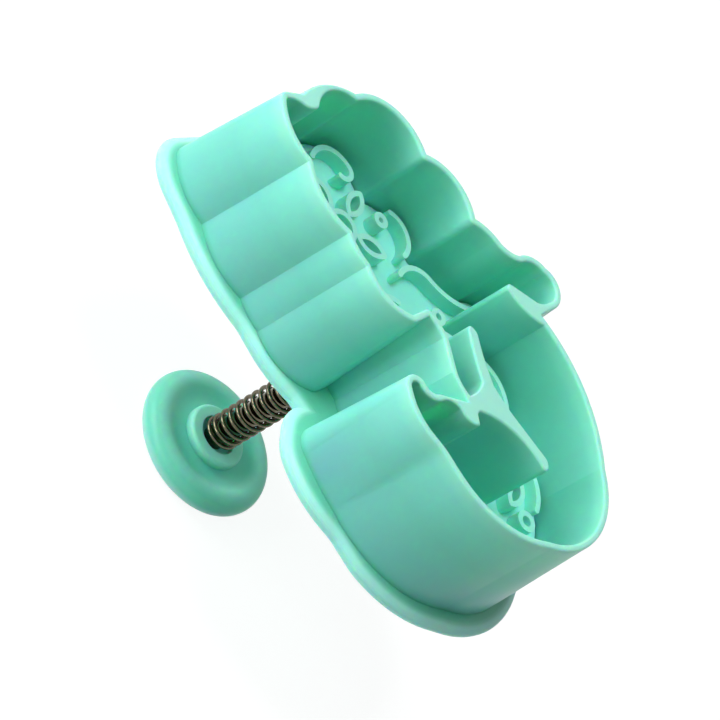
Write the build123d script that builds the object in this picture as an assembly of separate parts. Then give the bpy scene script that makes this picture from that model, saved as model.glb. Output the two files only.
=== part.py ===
from build123d import *
import math
import os

# Plunger cutter for pastry and sugar paste, in millimetres.
# It stands on its push knob with the cutting edge up: z is 0 on the knob's outer face and the
# origin lies on the axis of the stem. +Y points to the narrow lobe of the outline.

# Outline of the cut piece
outline_width = 46.0
outline_length = 75.0
corner_round = 0.7
ridge_round = 0.9

# Cutter shell
wall_height = 21.3
edge_wall = 1.1
root_wall = 2.2
root_length_share = 1.02
back_thickness = 2.4
flange_overhang = 3.1
flange_crown = 2.4
rim_round = 0.35
guide_clearance = 0.08
seat_ring_height = 1.0
seat_ring_wall = 1.2
cut_overrun = 1.0

# Embossing plate
plate_depth = 13.5
plate_thickness = 1.8
plate_clearance = 0.35
rib_height = 2.4
rib_width = 0.9
hub_diameter = 7.2
stiffener_thickness = 1.2
stiffener_height = 3.0

# Plunger stem, a steel pin
stem_diameter = 3.7
spigot_diameter = 3.0
knob_spigot_length = 2.2
hub_spigot_length = 6.4
spigot_interference = 0.02

# Push knob
knob_diameter = 23.7
knob_edge_thickness = 4.5
dish_slope = 25
boss_diameter = 10.4
boss_foot_height = 3.75
boss_height = 5.2
boss_round = 0.6
seat_diameter = 6.4
seat_height = 3.95

# Return spring, as it stands between knob and shell at rest
spring_diameter = 5.8
spring_wire = 0.7
spring_length = 26.1
spring_turns = 12
closed_turns = 1.25
closed_pitch = 1.2
leg_bend_radius = 0.75

# Heights along the stem
back_underside = seat_height + spring_length
back_top = back_underside + back_thickness
rim_top = back_top + wall_height
plate_top = rim_top - plate_depth
plate_underside = plate_top - plate_thickness

# Outlines as rows of x share, y share, bulge share and rounding share, clockwise seen from
# above. A bulge is the sagitta of the arc to the next point over its chord, outward positive.
# A rounding share multiplies the radius of the corner, and one above 1 marks a soft fold, which
# is rounded whichever way it points.
left_shares = [
    (-0.122, 0.000, 0.00, 1), (-0.209, 0.003, 0.17, 1), (-0.267, 0.124, 0.09, 1),
    (-0.259, 0.195, 0.152, 1), (-0.243, 0.344, 0.147, 1), (-0.191, 0.471, 0.00, 1),
]
top_web_shares = [(-0.191, 0.471, 0.06, 1), (-0.137, 0.451, -0.15, 0), (-0.070, 0.428, 0.24, 1)]
top_notch_shares = [(-0.191, 0.471, 0.00, 1), (-0.109, 0.449, 0.14, 0)]
right_shares = [
    (0.130, 0.408, 0.275, 1), (0.276, 0.251, 0.25, 1), (0.324, 0.100, 0.09, 1),
    (0.385, 0.045, -0.127, 0), (0.461, -0.017, 0.168, 0), (0.539, -0.057, 0.37, 0),
]
side_web_shares = [(0.483, -0.112, 0.08, 0), (0.415, -0.099, 0.00, 0), (0.313, -0.023, -0.125, 1)]
side_notch_shares = [(0.483, -0.112, 0.00, 0), (0.367, -0.109, 0.132, 0)]
bowl_shares = [
    (0.380, -0.144, 0.118, 0), (0.235, -0.433, 0.228, 0), (-0.211, -0.487, 0.123, 8),
    (-0.415, -0.315, 0.02, 0), (-0.420, -0.229, 0.13, 8), (-0.411, -0.112, 0.36, 0),
    (-0.365, -0.112, -0.19, 0),
]
crescent_shares = [
    (-0.315, -0.160, 0.16, 0), (-0.248, -0.192, -0.14, 1), (-0.224, -0.233, 0.00, 0),
    (-0.207, -0.237, 0.00, 0), (-0.180, -0.211, 0.14, 1), (-0.037, -0.379, -0.25, 1),
    (0.004, -0.357, 0.00, 1), (-0.022, -0.273, 0.03, 0), (-0.035, -0.189, 0.03, 0),
    (0.033, -0.092, -0.15, 1), (0.015, -0.063, -0.03, 1), (-0.078, -0.171, 0.09, 1),
]
waist_notch_shares = [(-0.315, -0.160, 0.00, 0), (-0.178, -0.213, 0.00, 0)]
neck_shares = [(-0.172, -0.179, 0.09, 0), (-0.165, -0.129, 0.00, 0), (-0.113, -0.067, -0.07, 0)]

flange_shares = [
    (-0.208, 0.004, 0.05, 1), (-0.241, 0.093, 0.00, 0), (-0.237, 0.160, 0.072, 15),
    (-0.224, 0.364, 0.00, 15), (-0.202, 0.435, 0.08, 0), (-0.174, 0.464, 0.00, 1),
    (0.130, 0.415, 0.20, 0), (0.276, 0.251, 0.14, 0), (0.324, 0.100, 0.00, 0),
    (0.400, 0.035, 0.02, 0), (0.530, -0.050, 0.30, 1), (0.483, -0.110, 0.00, 1),
    (0.385, -0.160, 0.10, 0), (0.240, -0.433, 0.235, 0), (-0.215, -0.477, 0.10, 15),
    (-0.376, -0.340, 0.00, 8), (-0.380, -0.257, 0.095, 15), (-0.387, -0.124, 0.00, 3),
    (-0.339, -0.101, 0.00, 1), (-0.185, -0.120, 0.00, 0),
]

# How far the foot of the wall stands in from the outline, as x shares, row by row from the first,
# and the foot of the wide lobe in place of the last six rows of its bowl
foot_inset_shares = [0, 0, 0, 0.008, 0.018, 0.026]
bowl_foot_shares = [
    (0.235, -0.433, 0.235, 0), (-0.206, -0.472, 0.115, 8), (-0.400, -0.315, 0.04, 0),
    (-0.408, -0.229, 0.04, 8), (-0.386, -0.118, 0.36, 0), (-0.351, -0.108, -0.19, 0),
]

# Embossed lines as rows of start x, start y, bulge, end x and end y shares
line_shares = [
    (-0.187, 0.408, -0.2, -0.048, 0.392), (-0.217, 0.328, 0.3, -0.100, 0.341),
    (0.109, 0.368, 0.28, 0.248, 0.320), (0.248, 0.320, 0.5, 0.187, 0.309),
    (0.317, 0.200, 0.3, 0.261, 0.112), (-0.209, 0.091, -0.3, -0.087, 0.053),
    (-0.070, 0.045, 0.25, 0.100, 0.040), (0.187, 0.085, 0.22, 0.313, 0.048),
    (0.313, 0.048, -0.1, 0.426, -0.045), (0.109, -0.051, 0.24, 0.257, -0.085),
    (0.061, -0.128, -0.16, 0.074, -0.232), (0.317, -0.131, 0.18, 0.313, -0.245),
    (-0.378, -0.165, -0.14, -0.361, -0.285), (-0.317, -0.355, -0.2, -0.183, -0.429),
    (-0.143, -0.475, 0.22, 0.013, -0.472), (0.161, -0.443, -0.15, 0.252, -0.355),
]
# Leaves as rows of root x, root y, tip x and tip y shares; both edges bulge by leaf_bulge_share
leaf_shares = [
    (0.120, 0.235, 0.226, 0.259), (0.052, 0.264, 0.048, 0.332), (-0.013, 0.232, -0.122, 0.252),
    (0.015, 0.184, -0.048, 0.128), (0.098, 0.187, 0.165, 0.131), (0.215, -0.273, 0.298, -0.309),
    (0.128, -0.279, 0.052, -0.328), (0.178, -0.221, 0.191, -0.155), (-0.274, -0.253, -0.265, -0.325),
    (-0.096, -0.352, -0.187, -0.387), (0.061, -0.403, 0.161, -0.384),
]
leaf_bulge_share = 0.24
# Rings as rows of x share, y share and radius share of the outline's width
ring_shares = [
    (0.054, 0.220, 0.052), (-0.161, 0.176, 0.024), (0.026, 0.403, 0.026), (0.250, 0.195, 0.020),
    (0.465, -0.069, 0.035), (0.176, -0.253, 0.035), (0.248, -0.024, 0.022), (0.083, -0.448, 0.028),
    (-0.070, -0.424, 0.024),
]
# Far ends of the stiffening ribs that run from the hub below the plate, as x and y shares
stiffener_shares = [(0.000, 0.320), (0.230, 0.060), (-0.070, 0.060), (0.200, -0.320)]


def spot(x_share, y_share):
    """The place in the outline at a share of its width and length."""
    return Vector(x_share * outline_width, y_share * outline_length)


def drawn(shares, length_share=1):
    """Edges of a closed outline from its table, with its length drawn out by a share."""
    places = [spot(row[0], row[1] * length_share) for row in shares]
    edges = []
    for row, start, end in zip(shares, places, places[1:] + places[:1]):
        edges.append(bowed(start, end, row[2]))
    return edges


def bowed(start, end, bulge):
    """A line, or an arc that bulges to the left of its way by a share of its chord."""
    if bulge == 0:
        return Edge.make_line(start, end)
    chord = end - start
    return Edge.make_three_point_arc(start, (start + end) / 2 + Vector(-chord.Y, chord.X) * bulge, end)


def biarc(start, start_way, end, end_way):
    """Two arcs that leave and arrive along the given directions and meet in line."""
    gap = end - start
    along = gap.dot(start_way + end_way)
    spread = 2 * (1 - start_way.dot(end_way))
    reach = (math.sqrt(along**2 + spread * gap.dot(gap)) - along) / spread
    first_knee, last_knee = start + start_way * reach, end - end_way * reach
    meeting = (first_knee + last_knee) / 2
    return [
        Edge.make_tangent_arc(start, start_way, meeting),
        Edge.make_tangent_arc(meeting, last_knee - first_knee, end),
    ]


def trimmed(edge, first, last):
    """The stretch of a line or an arc between two shares of its length."""
    if edge.geom_type == GeomType.LINE:
        return Edge.make_line(edge @ first, edge @ last)
    return Edge.make_three_point_arc(edge @ first, edge @ ((first + last) / 2), edge @ last)


def rounded(edges, shares, radius, inside, outside):
    """The outline with its marked corners rounded, those that point inward, outward or both."""
    cut_first, cut_last, joints = [0] * len(edges), [1] * len(edges), {}
    for place, row in enumerate(shares):
        before, after = edges[place - 1], edges[place]
        arriving, leaving = before % 1, after % 0
        turn = math.atan2(arriving.X * leaving.Y - arriving.Y * leaving.X, arriving.dot(leaving))
        if row[3] > 1 or row[3] and ((turn > 0 and inside) or (turn < 0 and outside)):
            setback = radius * row[3] * math.tan(abs(turn) / 2)
            cut_last[place - 1] = 1 - setback / before.length
            cut_first[place] = setback / after.length
            joints[place] = True
    result = []
    for place, edge in enumerate(edges):
        if place in joints:
            before = edges[place - 1]
            start, end = cut_last[place - 1], cut_first[place]
            result += biarc(before @ start, before % start, edge @ end, edge % end)
        result.append(trimmed(edge, cut_first[place], cut_last[place]))
    return result


def outward(edge, share):
    """The direction out of a clockwise outline at a share of one edge."""
    way = edge % share
    return Vector(-way.Y, way.X)


def grown(edges, distance):
    """The outline moved outward by a distance, with as many edges as before."""
    corners = []
    for before, after in zip(edges[-1:] + edges[:-1], edges):
        arriving, leaving = outward(before, 1), outward(after, 0)
        corners.append(after @ 0 + (arriving + leaving) * (distance / (1 + arriving.dot(leaving))))
    moved = []
    for edge, start, end in zip(edges, corners, corners[1:] + corners[:1]):
        middle = edge @ 0.5 + outward(edge, 0.5) * distance
        if edge.geom_type == GeomType.LINE:
            moved.append(Edge.make_line(start, end))
        else:
            moved.append(Edge.make_three_point_arc(start, middle, end))
    return moved


def level(edges, height):
    """The outline as a face at a height."""
    return Pos(0, 0, height) * Face(Wire(edges))


def prism(edges, bottom, top):
    """A straight block over the outline between two heights."""
    return extrude(level(edges, bottom), top - bottom, dir=(0, 0, 1))


def disc(diameter, bottom, top):
    """A round block on the axis of the stem between two heights."""
    return Pos(0, 0, bottom) * extrude(Circle(diameter / 2), top - bottom)


def quarter_turns(steps):
    """The angles that divide a quarter turn into equal steps."""
    return [math.pi / 2 * step / steps for step in range(steps + 1)]


def wall_block():
    """The solid inside the outer wall, with draft and a rounded cutting edge."""
    layers = [level(grown(root_outline, root_wall), back_top)]
    for angle in quarter_turns(3):
        inset = rim_round * (1 - math.cos(angle))
        height = rim_top - rim_round * (1 - math.sin(angle))
        layers.append(level(grown(outer_outline, edge_wall - inset), height))
    return loft(layers, ruled=True)


def flange_block():
    """The back of the cutter with the rounded bead of its flange, crowned above, full round below."""
    bead = back_thickness / 2
    layers = []
    for angle in [-angle for angle in reversed(quarter_turns(4)[1:])] + quarter_turns(7):
        inset = (flange_crown if angle > 0 else bead) * (1 - math.cos(angle))
        reach = root_wall + flange_overhang - inset
        layers.append(level(grown(flange_outline, reach), back_top - bead + bead * math.sin(angle)))
    return loft(layers, ruled=True)


def hollow_block():
    """The space that is cut out, flared at the top by the rounded cutting edge."""
    straight = prism(dough_outline, back_top, rim_top - rim_round)
    layers = []
    for angle in quarter_turns(3):
        outset = rim_round * (1 - math.cos(angle))
        height = rim_top - rim_round * (1 - math.sin(angle))
        layers.append(level(grown(dough_outline, outset), height))
    layers.append(level(grown(dough_outline, rim_round), rim_top + cut_overrun))
    return straight + loft(layers, ruled=True)


def make_cutter_shell():
    """Walls, webs, flange, back, guide hole and spring seat in one moulding."""
    shell = wall_block() + flange_block() - hollow_block()
    seat_bore = seat_diameter
    ring = disc(seat_bore + 2 * seat_ring_wall, back_underside - seat_ring_height, back_underside)
    ring -= disc(seat_bore, back_underside - seat_ring_height, back_underside)
    guide = disc(stem_diameter + 2 * guide_clearance, back_underside - cut_overrun, back_top + cut_overrun)
    return shell + ring - guide


def band(edge, width):
    """The flat strip of a width along one edge, with round ends."""
    half = width / 2
    starts, ends = outward(edge, 0) * half, outward(edge, 1) * half
    middle = outward(edge, 0.5) * half
    if edge.geom_type == GeomType.LINE:
        far = Edge.make_line(edge @ 0 + starts, edge @ 1 + ends)
        near = Edge.make_line(edge @ 1 - ends, edge @ 0 - starts)
    else:
        far = Edge.make_three_point_arc(edge @ 0 + starts, edge @ 0.5 + middle, edge @ 1 + ends)
        near = Edge.make_three_point_arc(edge @ 1 - ends, edge @ 0.5 - middle, edge @ 0 - starts)
    head = Edge.make_three_point_arc(edge @ 1 + ends, edge @ 1 + edge % 1 * half, edge @ 1 - ends)
    tail = Edge.make_three_point_arc(edge @ 0 - starts, edge @ 0 - edge % 0 * half, edge @ 0 + starts)
    return Face(Wire([far, head, near, tail]))


def embossed_faces():
    """The raised lines, leaves and rings as faces in the plane."""
    faces = [band(bowed(spot(*row[:2]), spot(*row[3:]), row[2]), rib_width) for row in line_shares]
    for root_x, root_y, tip_x, tip_y in leaf_shares:
        root, tip = spot(root_x, root_y), spot(tip_x, tip_y)
        for bulge in (leaf_bulge_share, -leaf_bulge_share):
            faces.append(band(bowed(root, tip, bulge), rib_width))
    for x_share, y_share, radius_share in ring_shares:
        radius = radius_share * outline_width
        ring = Circle(radius + rib_width / 2) - Circle(radius - rib_width / 2)
        faces.append(Pos(spot(x_share, y_share)) * ring)
    return faces


def raised(faces, bottom, top):
    """Straight blocks over flat faces between two heights."""
    return [extrude(Pos(0, 0, bottom) * face, top - bottom, dir=(0, 0, 1)) for face in faces]


def make_embossing_plate():
    """The sliding plate with its raised lines, hub and stiffening ribs."""
    face = Face(Face(Wire(dough_outline)).outer_wire().offset_2d(-plate_clearance, Kind.ARC))
    core = plate_top - plate_thickness / 2
    plate = extrude(Pos(0, 0, plate_underside) * face, plate_thickness, dir=(0, 0, 1))
    plate += raised(embossed_faces(), core, plate_top + rib_height)
    arms = [band(Edge.make_line(Vector(), spot(*row)), stiffener_thickness) for row in stiffener_shares]
    plate += raised(arms, plate_underside - stiffener_height, core)
    plate += disc(hub_diameter, back_top, core)
    socket = spigot_diameter - spigot_interference
    return plate - disc(socket, back_top, back_top + hub_spigot_length)


def make_plunger_stem():
    """The round stem with a shoulder and a spigot at each end."""
    stem = disc(stem_diameter, seat_height, back_top)
    stem += disc(spigot_diameter, seat_height - knob_spigot_length, seat_height)
    return stem + disc(spigot_diameter, back_top, back_top + hub_spigot_length)


def coil_rise(turn):
    """Height of the spring's centre line after a number of turns, closer wound at both ends."""
    total = spring_turns + 2 * closed_turns
    coiled = spring_length - 2 * (spring_wire + leg_bend_radius)
    open_pitch = (coiled - 2 * closed_turns * closed_pitch) / spring_turns
    closed = min(turn, closed_turns) + max(turn - total + closed_turns, 0)
    return closed * closed_pitch + (turn - closed) * open_pitch


def spring_nodes():
    """Points and directions of the spring's centre line, from knee to knee by quarter turns."""
    radius = (spring_diameter - spring_wire) / 2
    lift = seat_height + spring_wire + leg_bend_radius
    quarters = round(4 * (spring_turns + 2 * closed_turns))
    places, ways = [], []
    for quarter in range(quarters + 1):
        angle = math.pi / 2 * quarter
        before, after = max(quarter - 1, 0), min(quarter + 1, quarters)
        climb = (coil_rise(after / 4) - coil_rise(before / 4)) / (after - before)
        ahead = math.pi / 2 * radius
        places.append(Vector(radius * math.cos(angle), radius * math.sin(angle), lift + coil_rise(quarter / 4)))
        way = Vector(-ahead * math.sin(angle), ahead * math.cos(angle), climb)
        ways.append(way.normalized())
    up = Vector(0, 0, 1)
    slope = ways[0].dot(up)
    sideways = leg_bend_radius * math.sqrt((1 - slope) / (1 + slope))
    first_flat, last_flat = (Vector(way.X, way.Y).normalized() for way in (ways[0], ways[-1]))
    first_knee = places[0] - first_flat * sideways - up * leg_bend_radius
    last_knee = places[-1] + last_flat * sideways + up * leg_bend_radius
    return [first_knee] + places + [last_knee], [up] + ways + [up]


def spring_path():
    """Centre line of the spring: a straight leg, biarcs of a quarter turn, and a leg."""
    places, ways = spring_nodes()
    edges = [Edge.make_line(places[0] - ways[0] * spring_wire, places[0])]
    for start, way, end, end_way in zip(places, ways, places[1:], ways[1:]):
        edges += biarc(start, way, end, end_way)
    edges.append(Edge.make_line(places[-1], places[-1] + ways[-1] * spring_wire))
    return edges


def least_gap(edges):
    """The least gap of the spring's wire to itself, measured on points of its centre line."""
    points, travelled, reached = [], [], 0
    for edge in edges:
        for step in range(8):
            points.append(edge @ (step / 8))
            travelled.append(reached + edge.length * step / 8)
        reached += edge.length
    apart = math.pi * (spring_diameter - spring_wire) / 2
    pairs = (
        (one - other).length
        for place, one in enumerate(points)
        for next_place, other in enumerate(points[place:], place)
        if travelled[next_place] - travelled[place] > apart
    )
    return min(pairs) - spring_wire


def make_return_spring():
    """The compression spring as one unbroken wire with closer end coils."""
    edges = spring_path()
    print("least gap of the spring to itself", round(least_gap(edges), 3))
    print("tightest bend of the spring", round(min(edge.radius for edge in edges[1:-1]), 3))
    section = Plane(origin=edges[0] @ 0, z_dir=edges[0] % 0) * Circle(spring_wire / 2)
    return sweep(section, Wire(edges))


def make_plunger_knob():
    """The push disc: full-round edge, dished face and a raised ring round the spring's seat."""
    edge_radius, boss_radius, seat_radius = knob_edge_thickness / 2, boss_diameter / 2, seat_diameter / 2
    flat_radius, slope = knob_diameter / 2 - edge_radius, math.radians(dish_slope)
    land_radius = boss_radius - boss_round
    round_middle = boss_round * (1 - math.cos(math.pi / 4))
    lip = (flat_radius - edge_radius * math.sin(slope), edge_radius * (1 + math.cos(slope)))
    boss_foot = (boss_radius, boss_foot_height)
    inner = Polyline((0, 0), (0, seat_height), (seat_radius, seat_height), (seat_radius, boss_height))
    profile = inner.edges() + [
        Edge.make_line((seat_radius, boss_height), (land_radius, boss_height)),
        Edge.make_three_point_arc(
            (land_radius, boss_height),
            (boss_radius - round_middle, boss_height - round_middle),
            (boss_radius, boss_height - boss_round),
        ),
        Edge.make_line((boss_radius, boss_height - boss_round), boss_foot),
        Edge.make_tangent_arc(lip, (-math.cos(slope), -math.sin(slope)), boss_foot),
        Edge.make_three_point_arc(lip, (knob_diameter / 2, edge_radius), (flat_radius, 0)),
        Edge.make_line((flat_radius, 0), (0, 0)),
    ]
    knob = revolve(Plane.XZ * Face(Wire(profile)), Axis.Z)
    return knob - disc(spigot_diameter - spigot_interference, seat_height - knob_spigot_length, boss_height)


dough_rows = left_shares[:-1] + top_web_shares + right_shares + side_web_shares
dough_rows += bowl_shares + crescent_shares + neck_shares
outer_rows = left_shares[:-1] + top_notch_shares + right_shares + side_notch_shares
outer_rows += bowl_shares[1:] + waist_notch_shares + neck_shares[1:]
root_rows = [(row[0] + inset, *row[1:]) for row, inset in zip(outer_rows, foot_inset_shares)]
bowl_place = outer_rows.index(bowl_shares[1])
root_rows += outer_rows[len(foot_inset_shares):bowl_place] + bowl_foot_shares
root_rows += outer_rows[bowl_place + len(bowl_foot_shares):]

dough_outline = rounded(drawn(dough_rows), dough_rows, ridge_round, True, True)
outer_outline = rounded(drawn(outer_rows), outer_rows, corner_round, False, True)
root_outline = rounded(drawn(root_rows, root_length_share), root_rows, corner_round, False, True)
flange_outline = rounded(drawn(flange_shares), flange_shares, corner_round, False, True)

os.makedirs("parts", exist_ok=True)
export_step(make_cutter_shell(), "parts/cutter_shell.step")
export_step(make_embossing_plate(), "parts/embossing_plate.step")
export_step(make_plunger_stem(), "parts/plunger_stem.step")
export_step(make_return_spring(), "parts/return_spring.step")
export_step(make_plunger_knob(), "parts/plunger_knob.step")
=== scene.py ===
import math

import bpy
from mathutils import Matrix, Vector


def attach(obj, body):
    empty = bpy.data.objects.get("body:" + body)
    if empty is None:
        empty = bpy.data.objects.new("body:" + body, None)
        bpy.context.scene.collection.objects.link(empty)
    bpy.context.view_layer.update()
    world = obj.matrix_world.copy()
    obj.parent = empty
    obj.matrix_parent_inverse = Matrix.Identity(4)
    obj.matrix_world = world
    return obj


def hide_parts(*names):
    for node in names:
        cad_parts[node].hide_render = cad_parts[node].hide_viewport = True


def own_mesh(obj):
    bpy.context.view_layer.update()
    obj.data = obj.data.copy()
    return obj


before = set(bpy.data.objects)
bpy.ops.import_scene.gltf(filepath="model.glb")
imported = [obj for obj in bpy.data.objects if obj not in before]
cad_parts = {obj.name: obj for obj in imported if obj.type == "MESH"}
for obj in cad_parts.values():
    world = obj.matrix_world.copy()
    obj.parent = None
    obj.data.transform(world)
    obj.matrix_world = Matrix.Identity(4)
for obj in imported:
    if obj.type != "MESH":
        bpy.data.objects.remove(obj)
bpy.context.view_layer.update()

MM = 0.001

# Polypropylene
flow_size, flow_fade = 12 * MM, 0.12
sink_size, sink_depth, sink_share = 6 * MM, 0.12 * MM, 0.25
grain_size, grain_depth, grain_share = 0.25 * MM, 0.01 * MM, 0.15
satin_roughness = (0.32, 0.42)
reach_shares = (0.06, 1.0, 0.3)

# Plated wire
streak_size = 0.4 * MM
plating_roughness = (0.06, 0.18)
# painted glints: a dark tone and a bright one, mixed along the wire by noise
painted_glint_tones = ("#3e3a2e", "#827b66")

# Embossing plate
edge_round_width, edge_round_steps = 0.28 * MM, 3
weld_distance = 0.001 * MM
flat_within, sharp_from, smooth_up_to = math.radians(1), math.radians(50), math.radians(40)

# Studio and camera. The target is a point of the cutting edge and where it is seen, in pixels
# right of and above the middle of a square picture frame_pixels wide
floor_width = 6.0
paper_glow, sky_light = 0.9, 0.15
lamp_target = Vector((0, 0, 0.03))
elevation, roll = math.radians(36), math.radians(59)
sensor_width, lens = 36, 175
frame_pixels = 720
target, target_seen = Vector((-6.5, -1.05, 53.75)) * MM, (70, 44)
camera_distance, near_limit = 0.49, 0.02

# Sockets of a colour mix and of a shader mix, which share their names
COLOUR_A, COLOUR_B, COLOUR_OUT = 6, 7, 2
SHADER_A, SHADER_B = 1, 2


def linear(colour):
    """An sRGB hex colour as the linear values that a shader socket takes."""
    parts = [int(colour[place:place + 2], 16) / 255 for place in (1, 3, 5)]
    return [part / 12.92 if part <= 0.04045 else ((part + 0.055) / 1.055) ** 2.4 for part in parts] + [1.0]


def add_node(tree, kind, settings=None, links=None):
    """Adds a node with its settings, input values by socket, and links from other nodes' outputs."""
    node = tree.nodes.new(kind)
    for name, value in (settings or {}).items():
        if name in node.inputs:
            node.inputs[name].default_value = value
        else:
            setattr(node, name, value)
    for name, (source, output) in (links or {}).items():
        tree.links.new(source.outputs[output], node.inputs[name])
    return node


def add_noise(tree, place, size, detail):
    return add_node(
        tree, "ShaderNodeTexNoise", {"Scale": 1 / size, "Detail": detail}, {"Vector": (place, "Object")}
    )


def spread(tree, noise, low, high):
    """A noise's shares spread over a range of values."""
    return add_node(
        tree, "ShaderNodeMapRange", {"To Min": low, "To Max": high}, {"Value": (noise, "Fac")}
    )


def new_material(name):
    material = bpy.data.materials.new(name)
    material.use_nodes = True
    material.node_tree.nodes.clear()
    return material, material.node_tree


def levels_ramp(tree, place, levels):
    """A ramp up the part's height, with colours and, as its alpha, shares of the deepest reach."""
    height = add_node(tree, "ShaderNodeSeparateXYZ", links={"Vector": (place, "Object")})
    lowest, highest = levels[0][0], levels[-1][0]
    deepest = max(reach for _, _, reach in levels)
    share = add_node(
        tree, "ShaderNodeMapRange", {"From Min": lowest * MM, "From Max": highest * MM},
        {"Value": (height, "Z")},
    )
    ramp = add_node(tree, "ShaderNodeValToRGB", links={"Fac": (share, "Result")})
    stops = ramp.color_ramp.elements
    stops[0].position, stops[1].position = 0.0, 1.0
    for level, _, _ in levels[1:-1]:
        stops.new((level - lowest) / (highest - lowest))
    for stop, (_, tone, reach) in zip(stops, levels):
        stop.color = linear(tone)[:3] + [reach / deepest]
    reach = add_node(tree, "ShaderNodeMapRange", {"To Max": deepest * MM}, {"Value": (ramp, "Alpha")})
    return ramp, reach


# Polypropylene, injection moulded, satin: soft gloss, light goes a little way into the wall and comes back
# greener. Where the levels make rims, edges and tops paler than the walls, that is painted highlight, and
# where they make a groove darker, it is painted shade.
# The levels are rows of height above the floor, colour, and how far light goes in, from the lowest
# up and in millimetres.
def moulded_polypropylene(name, levels):
    material, tree = new_material(name)
    place = add_node(tree, "ShaderNodeTexCoord")
    ramp, reach = levels_ramp(tree, place, levels)
    # Flow of the melt: faint clouds in the colour and in the gloss
    flow = add_noise(tree, place, flow_size, detail=2.0)
    clouds = spread(tree, flow, 0.0, flow_fade)
    gloss = spread(tree, flow, *satin_roughness)
    colour = add_node(tree, "ShaderNodeMix", {"data_type": "RGBA"}, {"Factor": (clouds, "Result")})
    tree.links.new(ramp.outputs["Color"], colour.inputs[COLOUR_A])
    colour.inputs[COLOUR_B].default_value = linear(levels[-1][1])
    # Sink of the cooling wall, and the grain of a spark-eroded mould
    sink = add_noise(tree, place, sink_size, detail=0.0)
    wavy = add_node(
        tree, "ShaderNodeBump", {"Strength": sink_share, "Distance": sink_depth}, {"Height": (sink, "Fac")}
    )
    grain = add_noise(tree, place, grain_size, detail=1.0)
    fine = add_node(
        tree, "ShaderNodeBump", {"Strength": grain_share, "Distance": grain_depth},
        {"Height": (grain, "Fac"), "Normal": (wavy, "Normal")},
    )
    shader = add_node(
        tree, "ShaderNodeBsdfPrincipled",
        {
            "IOR": 1.49, "Specular IOR Level": 0.3,
            "Subsurface Weight": 1.0, "Subsurface Radius": reach_shares,
        },
        {"Roughness": (gloss, "Result"), "Normal": (fine, "Normal"), "Subsurface Scale": (reach, "Result")},
    )
    tree.links.new(colour.outputs[COLOUR_OUT], shader.inputs["Base Color"])
    add_node(tree, "ShaderNodeOutputMaterial", links={"Surface": (shader, "BSDF")})
    return material


# Spring steel wire, drawn and nickel plated: dark between painted glints, bright tones laid along the wire
# by the same noise that varies its gloss
def nickelled_wire(name):
    material, tree = new_material(name)
    place = add_node(tree, "ShaderNodeTexCoord")
    gloss_and_painted_glints = add_noise(tree, place, streak_size, detail=3.0)
    gloss = spread(tree, gloss_and_painted_glints, *plating_roughness)
    # painted glints: the noise mixes the dark and the bright tone
    tone = add_node(tree, "ShaderNodeMix", {"data_type": "RGBA"}, {"Factor": (gloss_and_painted_glints, "Fac")})
    for socket, colour in zip((COLOUR_A, COLOUR_B), painted_glint_tones):
        tone.inputs[socket].default_value = linear(colour)
    shader = add_node(
        tree, "ShaderNodeBsdfPrincipled", {"Metallic": 1.0}, {"Roughness": (gloss, "Result")}
    )
    tree.links.new(tone.outputs[COLOUR_OUT], shader.inputs["Base Color"])
    add_node(tree, "ShaderNodeOutputMaterial", links={"Surface": (shader, "BSDF")})
    return material


def by_ray(tree, plain, shown):
    """A shader for light that bounces, and another for rays that show the backdrop: those of the
    camera, and of mirrors and glass."""
    path = add_node(tree, "ShaderNodeLightPath")
    shows = path.outputs["Is Camera Ray"]
    for kind in ("Is Glossy Ray", "Is Transmission Ray"):
        larger = add_node(tree, "ShaderNodeMath", {"operation": "MAXIMUM"})
        tree.links.new(shows, larger.inputs[0])
        tree.links.new(path.outputs[kind], larger.inputs[1])
        shows = larger.outputs["Value"]
    mix = add_node(tree, "ShaderNodeMixShader")
    tree.links.new(shows, mix.inputs["Fac"])
    tree.links.new(plain.outputs[0], mix.inputs[SHADER_A])
    tree.links.new(shown.outputs[0], mix.inputs[SHADER_B])
    return mix


# White seamless paper: plain to the lamps, and nearly as bright as the backdrop to the camera
def backdrop_paper(name):
    material, tree = new_material(name)
    paper = add_node(tree, "ShaderNodeBsdfDiffuse", {"Color": linear("#f4f6f6")})
    shaded = add_node(tree, "ShaderNodeBsdfDiffuse", {"Color": linear("#7c7c7c")})
    glow = add_node(tree, "ShaderNodeEmission", {"Strength": paper_glow})
    seen = add_node(tree, "ShaderNodeAddShader")
    tree.links.new(shaded.outputs[0], seen.inputs[0])
    tree.links.new(glow.outputs[0], seen.inputs[1])
    mix = by_ray(tree, paper, seen)
    add_node(tree, "ShaderNodeOutputMaterial", links={"Surface": (mix, "Shader")})
    return material


def studio_world(name):
    world = bpy.data.worlds.new(name)
    world.use_nodes = True
    tree = world.node_tree
    tree.nodes.clear()
    sky, white = (
        add_node(tree, "ShaderNodeBackground", {"Color": linear("#ffffff"), "Strength": strength})
        for strength in (sky_light, 1.0)
    )
    mix = by_ray(tree, sky, white)
    add_node(tree, "ShaderNodeOutputWorld", links={"Surface": (mix, "Shader")})
    return world


def select_only(piece):
    bpy.ops.object.select_all(action="DESELECT")
    piece.select_set(True)
    bpy.context.view_layer.objects.active = piece


def merged_copy(node, name):
    """A copy of a CAD node with its loose triangles merged into whole faces."""
    piece = bpy.data.objects.new(name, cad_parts[node].data.copy())
    bpy.context.scene.collection.objects.link(piece)
    piece.data.materials.clear()
    select_only(piece)
    bpy.ops.mesh.customdata_custom_splitnormals_clear()
    bpy.ops.object.mode_set(mode="EDIT")
    bpy.ops.mesh.select_all(action="SELECT")
    bpy.ops.mesh.remove_doubles(threshold=weld_distance)
    bpy.ops.object.mode_set(mode="OBJECT")
    return piece


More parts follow.
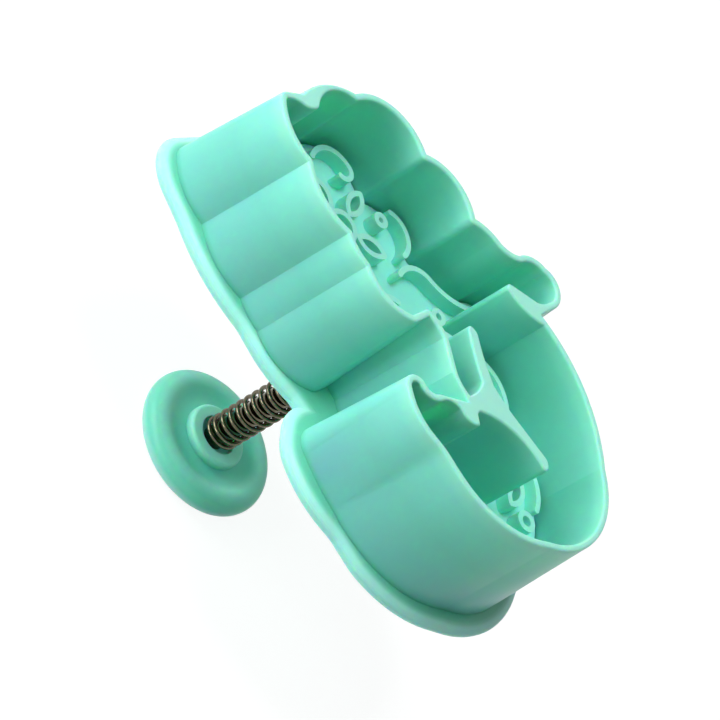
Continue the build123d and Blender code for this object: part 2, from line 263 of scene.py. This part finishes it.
def finished(piece, body, node, material):
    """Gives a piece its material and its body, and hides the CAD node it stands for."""
    piece.data.materials.append(material)
    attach(piece, body)
    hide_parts(node)


shell_plastic = moulded_polypropylene("polypropylene_moulded_mint_wall", [
    # painted highlight: the flange's rounded bead, paler than the wall
    (30.0, "#a8f8e8", 0.4),
    (32.2, "#b2f8ec", 0.5),
    # painted shade: a dark line in the groove where the wall rises from the flange
    (32.45, "#64ceae", 0.5),
    (33.4, "#7ad4c8", 2.6),
    (44.0, "#7ad4c8", 2.6),
    # painted highlight: paler from 44 mm up to the rim
    (51.0, "#88e4d6", 2.2),
    (53.0, "#9cf0dc", 0.5),
    (53.75, "#a6f8e2", 0.3),
])
# Painted light on the plate, which stands in the walls' shade: paler than the walls, and paler still up to
# the tops of the raised lines
plate_plastic = moulded_polypropylene("polypropylene_moulded_mint_plate", [
    (38.4, "#98f6e6", 1.0),
    (40.6, "#98f6e6", 1.0),
    (41.4, "#9cf6e0", 0.4),
    (42.65, "#aafae4", 0.15),
])
knob_plastic = moulded_polypropylene("polypropylene_moulded_mint_knob", [
    # painted light: the knob's rounded side, from the floor up to 1.8 mm, paler than the dish
    (0.0, "#b8f6ea", 0.8),
    (1.8, "#a4ecde", 0.8),
    (2.6, "#7cdec8", 2.0),
    (3.9, "#7cdec8", 2.0),
    # painted highlight: the tops of the knob's rim and of the boss, paler than the dish
    (4.5, "#9ceada", 1.0),
    (5.2, "#a4eedc", 0.6),
])
wire = nickelled_wire("spring_steel_nickel_plated")

for node, material in (
    ("cutter_shell", shell_plastic), ("plunger_knob", knob_plastic), ("plunger_stem", wire),
):
    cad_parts[node].data.materials[0] = material

# Embossing plate: the CAD plate with every edge of its raised lines rounded
plate = merged_copy("embossing_plate", "embossing_plate_rounded")
bpy.ops.object.mode_set(mode="EDIT")
bpy.ops.mesh.select_all(action="SELECT")
bpy.ops.mesh.dissolve_limited(angle_limit=flat_within)
bpy.ops.object.mode_set(mode="OBJECT")
edge_round = plate.modifiers.new("edge_round", "BEVEL")
edge_round.width, edge_round.segments = edge_round_width, edge_round_steps
edge_round.limit_method, edge_round.angle_limit = "ANGLE", sharp_from
edge_round.use_clamp_overlap = True
bpy.ops.object.modifier_apply(modifier="edge_round")
bpy.ops.object.shade_smooth_by_angle(angle=smooth_up_to)
flat_faces = plate.modifiers.new("flat_faces", "WEIGHTED_NORMAL")
flat_faces.mode, flat_faces.weight, flat_faces.keep_sharp = "FACE_AREA", 100, True
bpy.ops.object.modifier_apply(modifier="flat_faces")
finished(plate, "plunger", "embossing_plate", plate_plastic)

# Return spring: a smooth shaded copy of the CAD spring on the cutter's body, with a mesh of its own. The
# real spring shortens towards the cutter's back as the plunger is pressed.
spring = merged_copy("return_spring", "return_spring_wire")
bpy.ops.object.shade_smooth()
finished(spring, "cutter", "return_spring", wire)
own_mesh(spring)

# Floor under the push knob
bpy.ops.mesh.primitive_plane_add(size=floor_width, location=(0, 0, 0))
floor = bpy.context.active_object
floor.name = "paper_floor"
floor.data.materials.append(backdrop_paper("seamless_paper_white"))

# Camera: above the knob's side, looking along +X, and rolled
back = Vector((-math.cos(elevation), 0, math.sin(elevation)))
level_right = Vector((0, -1, 0))
level_up = Vector((math.sin(elevation), 0, math.cos(elevation)))
right = level_right * math.cos(roll) + level_up * math.sin(roll)
up = level_up * math.cos(roll) - level_right * math.sin(roll)
focal_pixels = frame_pixels * lens / sensor_width
ray = right * (target_seen[0] / focal_pixels) + up * (target_seen[1] / focal_pixels) - back
camera_place = target - ray * camera_distance
camera_data = bpy.data.cameras.new("camera")
camera_data.sensor_width, camera_data.lens, camera_data.clip_start = sensor_width, lens, near_limit
camera = bpy.data.objects.new("camera", camera_data)
camera.matrix_world = Matrix.Translation(camera_place) @ Matrix((right, up, back)).transposed().to_4x4()
bpy.context.scene.collection.objects.link(camera)
bpy.context.scene.camera = camera


def softbox(name, direction, distance, size, power):
    """A square area lamp that looks at the middle of the part from a direction."""
    lamp = bpy.data.lights.new(name, "AREA")
    lamp.shape, lamp.size, lamp.energy = "SQUARE", size, power
    holder = bpy.data.objects.new(name, lamp)
    holder.location = lamp_target + Vector(direction).normalized() * distance
    holder.rotation_euler = (lamp_target - holder.location).to_track_quat("-Z", "Y").to_euler()
    bpy.context.scene.collection.objects.link(holder)


softbox("key_softbox", (-0.30, 0.91, 0.27), distance=0.6, size=0.30, power=1.85)
softbox("side_softbox", (-0.80, 0.58, 0.14), distance=0.6, size=0.22, power=1.05)
softbox("top_softbox", (-0.05, 0.25, 0.97), distance=0.7, size=0.30, power=2.9)

bpy.context.scene.world = studio_world("studio")
bpy.context.scene.view_settings.view_transform = "Standard"
